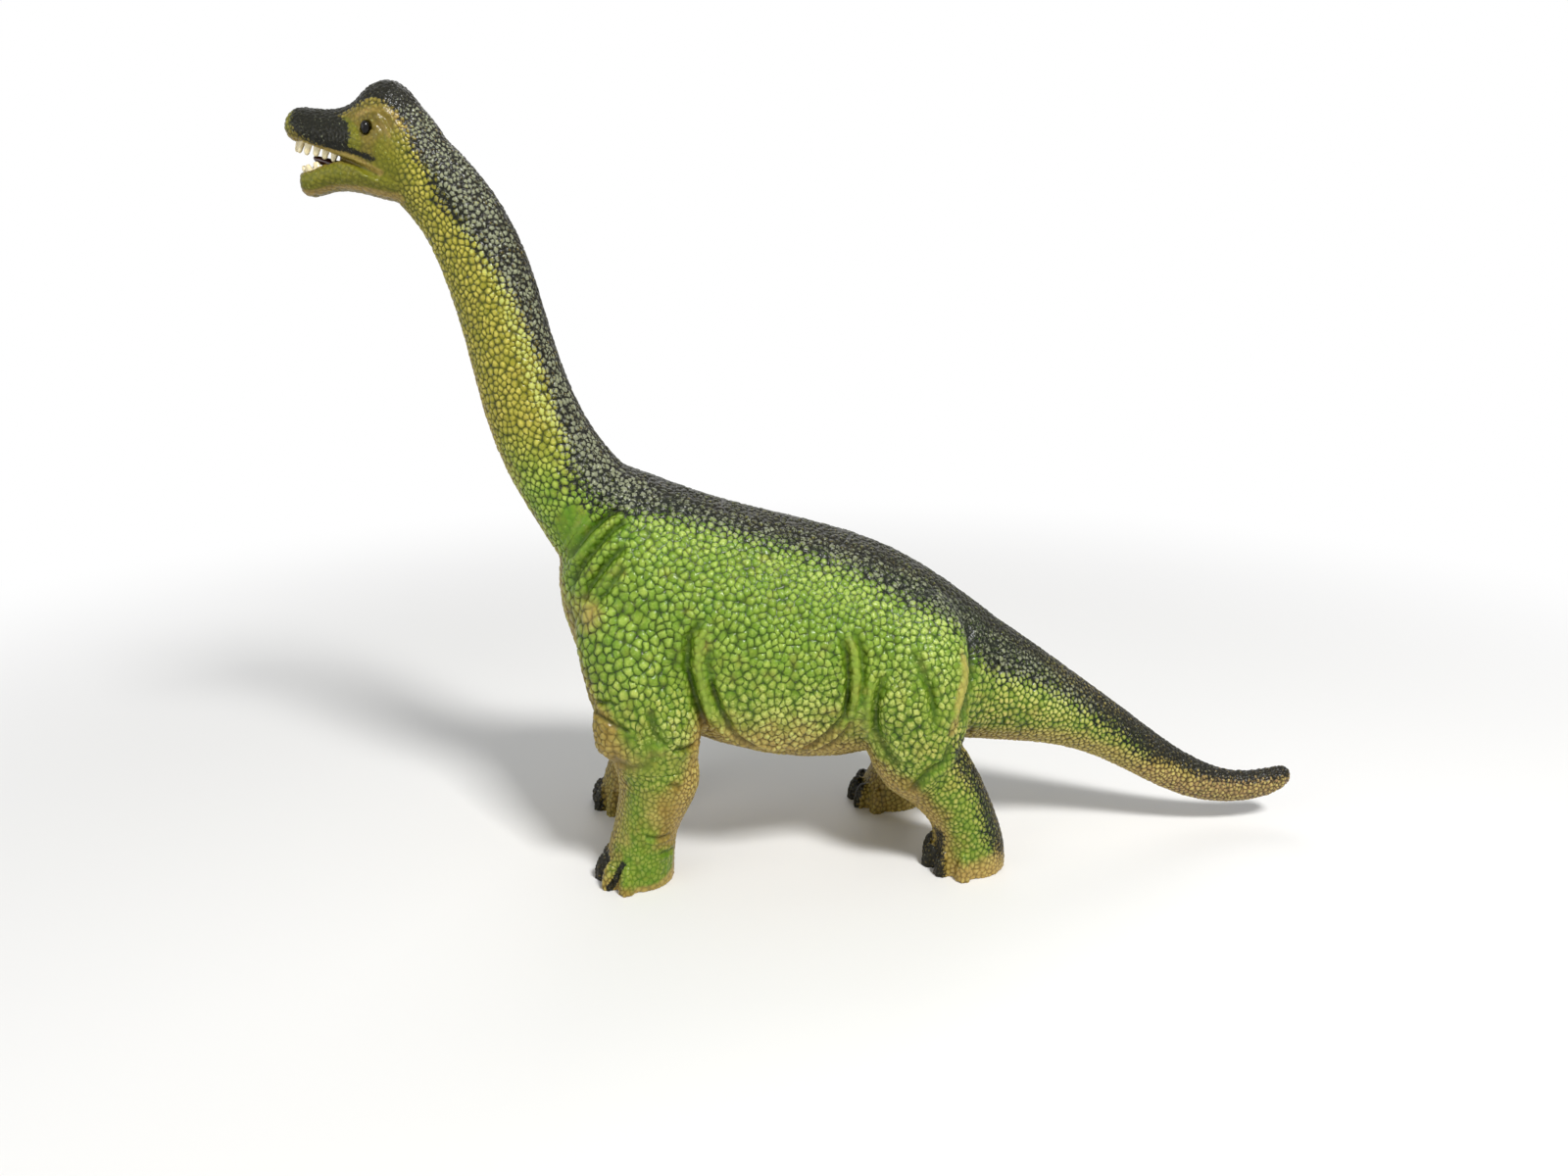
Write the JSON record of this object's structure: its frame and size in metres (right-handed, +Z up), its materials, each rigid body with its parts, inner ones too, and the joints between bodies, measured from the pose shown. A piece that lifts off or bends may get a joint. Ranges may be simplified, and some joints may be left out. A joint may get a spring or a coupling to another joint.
{
  "type": "toy dinosaur figure",
  "caption": "Long-necked toy dinosaur of hollow soft vinyl, standing on flat-soled legs, with a domed head, an open toothed mouth and a tail held off the ground.",
  "frame": {"origin": "on the floor, under the centre of the figure's bounding box", "axes": "-X towards the head, +X towards the tail, +Y to the animal's right, +Z up"},
  "size_m": [0.343, 0.0874, 0.2566],
  "materials": {
    "green_vinyl": "soft vinyl, sprayed green over tan with a black back, lacquered glossy",
    "tail_vinyl": "soft vinyl, sprayed dark green and black over tan, lacquered glossy",
    "ivory_teeth": "cream, glossy",
    "maroon_tongue": "dark maroon, satin",
    "black_eye": "black, high gloss"
  },
  "bodies": {
    "root": {"torso_shell": "green_vinyl", "neck_head_shell": "green_vinyl", "tail_shell": "tail_vinyl", "foreleg_left": "green_vinyl", "foreleg_right": "green_vinyl", "hindleg_left": "green_vinyl", "hindleg_right": "green_vinyl", "upper_teeth": "ivory_teeth", "lower_teeth": "ivory_teeth", "tongue": "maroon_tongue", "eye_left": "black_eye", "eye_right": "black_eye"}
  },
  "joints": []
}
